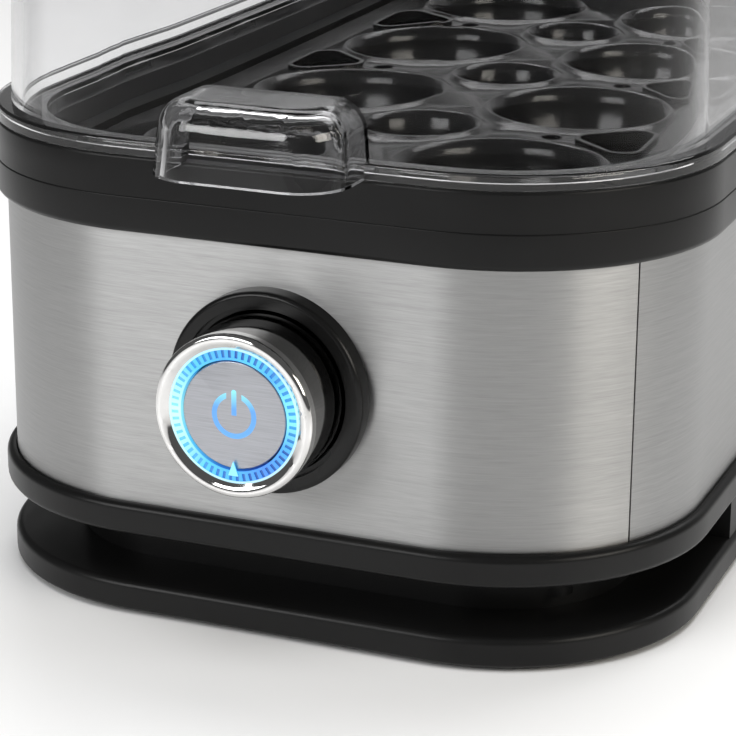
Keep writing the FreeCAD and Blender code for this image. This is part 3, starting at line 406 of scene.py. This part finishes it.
def circuit_board():
    """Green lacquer over square-cornered tracks."""
    finish = Finish("circuit_board", Roughness=0.45)
    tracks = finish.step("TexVoronoi", Vector=finish.place, Scale=TRACKS)
    tracks.distance = "MANHATTAN"
    finish.mottle(tracks.outputs["Distance"], BOARD_GREEN, TRACK_GREEN, TRACK_RANGE)
    finish.bump(tracks.outputs["Distance"], TRACK_DEPTH)
    return finish.material


FINISHES = {
    "steel": brushed_steel(),
    **{key: moulded_plastic(*values) for key, values in PLASTICS.items()},
    "rim": polished_chrome("rim_chrome", rgb(0.68, 0.675, 0.665), rgb(0.76, 0.755, 0.75)),
    "skirt": polished_chrome("skirt_chrome", rgb(0.30, 0.297, 0.294), rgb(0.35, 0.347, 0.343)),
    "button": brushed_button(),
    "clear": clear_plastic("clear_plastic", 1.0),
    "clear_wall": clear_plastic("clear_wall", 0.04),
    "light": lit_ring(),
    "symbol": lit_symbol(),
    "pan": hardware_metal("pan_steel", (0.6, 0.59, 0.58), 0.3),
    "element": hardware_metal("element_sheath", (0.38, 0.36, 0.34), 0.45),
    "hardware": hardware_metal("zinc_hardware", (0.66, 0.65, 0.6), 0.35),
    "rubber": rubber(),
    "board": circuit_board(),
}


# The pieces. What shows has a finish, the record's slot and the angle in degrees past which edges stay sharp.

DRESS = {
    "steel_band": ("steel", "steel", 35),
    "lower_ring": ("ring", "ring_black", 35),
    "top_frame": ("ring", "ring_black", 35),
    "base_shell": ("shell", "shell_black", 35),
    "foot_plate": ("shell", "shell_black", 35),
    "cord_gland": ("shell", "dark_plastic", 35),
    "egg_tray": ("tray", "tray_black", 50),
    "lid": ("clear", "clear_plastic", 35),
    "knob_bezel": ("bezel", "dark_plastic", 35),
    "knob_skirt": ("skirt", "chrome", 35),
    "face_rim": ("rim", "chrome", 35),
    "light_ring": ("light", "light", 35),
    "button_cap": ("button", "button_metal", 35),
    "power_symbol": ("symbol", "symbol", 35),
    "rubber_feet": ("rubber", "black_rubber", 35),
}
# What lies inside, by finish
INNER = {
    "dark": ("bezel_nut", "board_parts", "encoder_housing", "push_switch"),
    "white": ("button_plunger", "core_sleeve", "encoder_rotor", "leds", "terminal_block", "thermal_fuse"),
    "hardware": ("board_screws", "bridge_nuts", "button_spring", "foot_screws", "pan_bridges", "post_screws",
                 "thermostat", "thermostat_screws"),
    "board": ("control_board", "led_board"),
    "element": ("heating_element",),
    "pan": ("heating_pan",),
    "wire": ("inner_wires",),
    "seal": ("pan_gasket",),
}
BODY_OF = {node: body for body, members in frame["record"]["behaviour"]["bodies"].items() for node in members}
WELD = 0.002 * MM
FLANGE_HEIGHT = 3.0 * MM
WALL_REACH = 3.0 * MM


def paint(thing, finish):
    thing.data.materials.clear()
    thing.data.materials.append(FINISHES[finish])


def smooth_copy(node, finish, slot, sharp):
    """A welded copy of a CAD node, shaded smooth up to the sharp angle, which stands for it."""
    mesh = nodes[node].data.copy()
    mesh.name = node + "_skin"
    work = bmesh.new()
    work.from_mesh(mesh)
    bmesh.ops.remove_doubles(work, verts=work.verts, dist=WELD)
    for face in work.faces:
        face.smooth = True
    for edge in work.edges:
        edge.smooth = not edge.is_manifold or edge.calc_face_angle(0) < math.radians(sharp)
    work.to_mesh(mesh)
    work.free()
    piece = link(node + "_skin", mesh)
    paint(piece, finish)
    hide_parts(node)
    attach(piece, BODY_OF[node])
    return piece


def calm_walls(piece):
    """The lid's walls and top get the calmer clear finish; its flange and handle keep the bright one."""
    piece.data.materials.append(FINISHES["clear_wall"])
    flange_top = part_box("top_frame")[1][2] + FLANGE_HEIGHT + WELD
    handle_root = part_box("steel_band")[0][1] - WALL_REACH
    corners = piece.data.vertices
    for face in piece.data.polygons:
        high = max(corners[v].co.z for v in face.vertices)
        out = min(corners[v].co.y for v in face.vertices)
        face.material_index = int(high > flange_top and out > handle_root)


skins = {node: smooth_copy(node, *look) for node, look in DRESS.items()}
calm_walls(skins["lid"])
for finish, members in INNER.items():
    for node in members:
        paint(nodes[node], finish)


# Floor and lights

FLOOR_REACH = 6.0
FLOOR_WHITE = rgb(0.93, 0.93, 0.93)


def make_floor():
    mesh = bpy.data.meshes.new("studio_floor")
    work = bmesh.new()
    bmesh.ops.create_grid(work, x_segments=1, y_segments=1, size=FLOOR_REACH)
    work.to_mesh(mesh)
    work.free()
    floor = link("studio_floor", mesh)
    finish = Finish("floor_gloss", Roughness=0.22, Specular_IOR_Level=0.15, Base_Color=FLOOR_WHITE)
    mesh.materials.append(finish.material)


# Lamps by name: turn to the right of the front and rise, in degrees, distance, width, height, glow, colour.
# The fills show neither in a gloss nor through the lid.
WHITE = (1, 1, 1)
WARM_WHITE = (1.0, 0.95, 0.86)
SOFT_BOXES = {
    "box_left": (-27, 23, 1.0, 0.55, 0.36, 5.7, WHITE),
    "box_right": (71, 23, 1.0, 0.55, 0.36, 5.1, WARM_WHITE),
    "fill_top": (180, 70, 1.3, 0.9, 0.7, 4.0, WHITE),
    "box_back": (180, 50, 2.2, 2.4, 0.8, 3.2, WHITE),
    "wall_back": (180, 16, 2.2, 3.4, 1.0, 0.25, WHITE),
    "fill_front": (20, 62, 1.6, 1.2, 1.2, 3.0, WHITE),
}
AIR_GLOW = 0.10
LAMP_AIM = Vector((0, 0, 0.06))


def soft_box(name, turn, rise, distance, width, height, glow, colour):
    """A square-cornered lamp of an even glow, turned to face the cooker."""
    lamp = bpy.data.lights.new(name, "AREA")
    lamp.shape = "RECTANGLE"
    lamp.size = width
    lamp.size_y = height
    lamp.energy = glow * math.pi * width * height
    lamp.color = colour
    holder = link(name, lamp)
    place = LAMP_AIM + towards(math.radians(turn), math.radians(rise)) * distance
    holder.matrix_world = facing(place, LAMP_AIM - place)
    if name.startswith("fill"):
        holder.visible_glossy = False
        holder.visible_transmission = False


def make_studio():
    world = bpy.data.worlds.new("studio_air")
    world.use_nodes = True
    air = world.node_tree.nodes["Background"]
    air.inputs["Color"].default_value = rgb(*WHITE)
    air.inputs["Strength"].default_value = AIR_GLOW
    bpy.context.scene.world = world
    bpy.context.scene.view_settings.view_transform = "Standard"
    for name, values in SOFT_BOXES.items():
        soft_box(name, *values)


make_camera()
make_floor()
make_studio()
